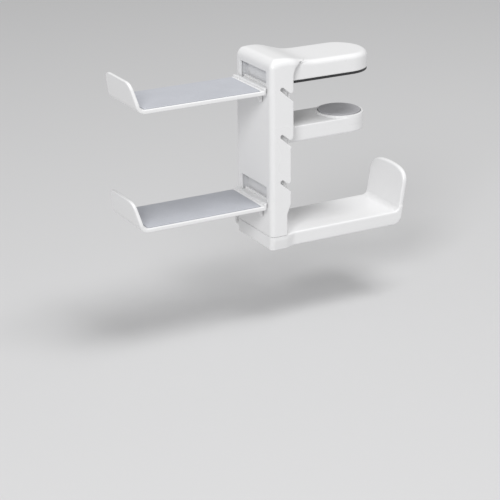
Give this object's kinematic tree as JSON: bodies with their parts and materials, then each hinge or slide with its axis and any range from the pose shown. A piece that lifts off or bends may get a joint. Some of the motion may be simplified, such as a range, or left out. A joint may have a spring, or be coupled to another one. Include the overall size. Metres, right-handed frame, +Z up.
{
  "type": "headphone hook",
  "caption": "Desk-clamp headphone hook: a post with a fixed top arm, a spring-loaded sliding jaw, an upturned cradle below, and lift-off controller trays on the front.",
  "frame": {"origin": "centre of the top pad's clamping face, where the underside of the top arm meets the desk top", "axes": "+X right seen from the tray side, +Y rearward over the desk, +Z up"},
  "size_m": [0.0583, 0.219, 0.1374],
  "materials": {
    "white_shell": "fine satin moulding",
    "white_tray": "fine satin moulding",
    "inner_plastic": "matt moulding",
    "tray_mat": "matt grey anti-slip mat",
    "grey_rubber": "matt grey clamping pad",
    "dark_rubber": "matt dark clamping pad",
    "steel": "bright zinc"
  },
  "bodies": {
    "frame": {"housing": "white_shell", "rear_cover": "white_shell", "cover_screw_upper_left": "steel", "cover_screw_upper_right": "steel", "cover_screw_lower_left": "steel", "cover_screw_lower_right": "steel", "arm_underplate": "white_shell", "underplate_screw_front": "steel", "underplate_screw_rear": "steel", "top_pad": "dark_rubber", "pocket_upper": "inner_plastic", "pocket_lower": "inner_plastic", "rod_bracket_lower": "inner_plastic", "rod_bracket_upper": "inner_plastic", "guide_rod_left": "steel", "guide_rod_right": "steel", "spring_left": "steel", "spring_right": "steel", "headphone_hook": "white_shell", "hook_screw_left": "steel", "hook_screw_right": "steel"},
    "jaw": {"jaw_arm": "white_shell", "jaw_pad": "grey_rubber", "jaw_carriage": "inner_plastic", "jaw_screw_left": "steel", "jaw_screw_right": "steel"},
    "upper_tray": {"tray_upper": "white_tray", "tray_mat_upper": "tray_mat"},
    "lower_tray": {"tray_lower": "white_tray", "tray_mat_lower": "tray_mat"}
  },
  "joints": [
    {"name": "clamp_slide", "type": "slide", "parent": "frame", "child": "jaw", "axis": [0, 0, 1], "range_m": [-0.012, 0.011], "deforming": ["spring_left", "spring_right"]},
    {"name": "upper_tray_lift", "type": "slide", "parent": "frame", "child": "upper_tray", "axis": [0, 0, 1], "range_m": [0, 0.007]},
    {"name": "lower_tray_lift", "type": "slide", "parent": "frame", "child": "lower_tray", "axis": [0, 0, 1], "range_m": [0, 0.007]}
  ]
}
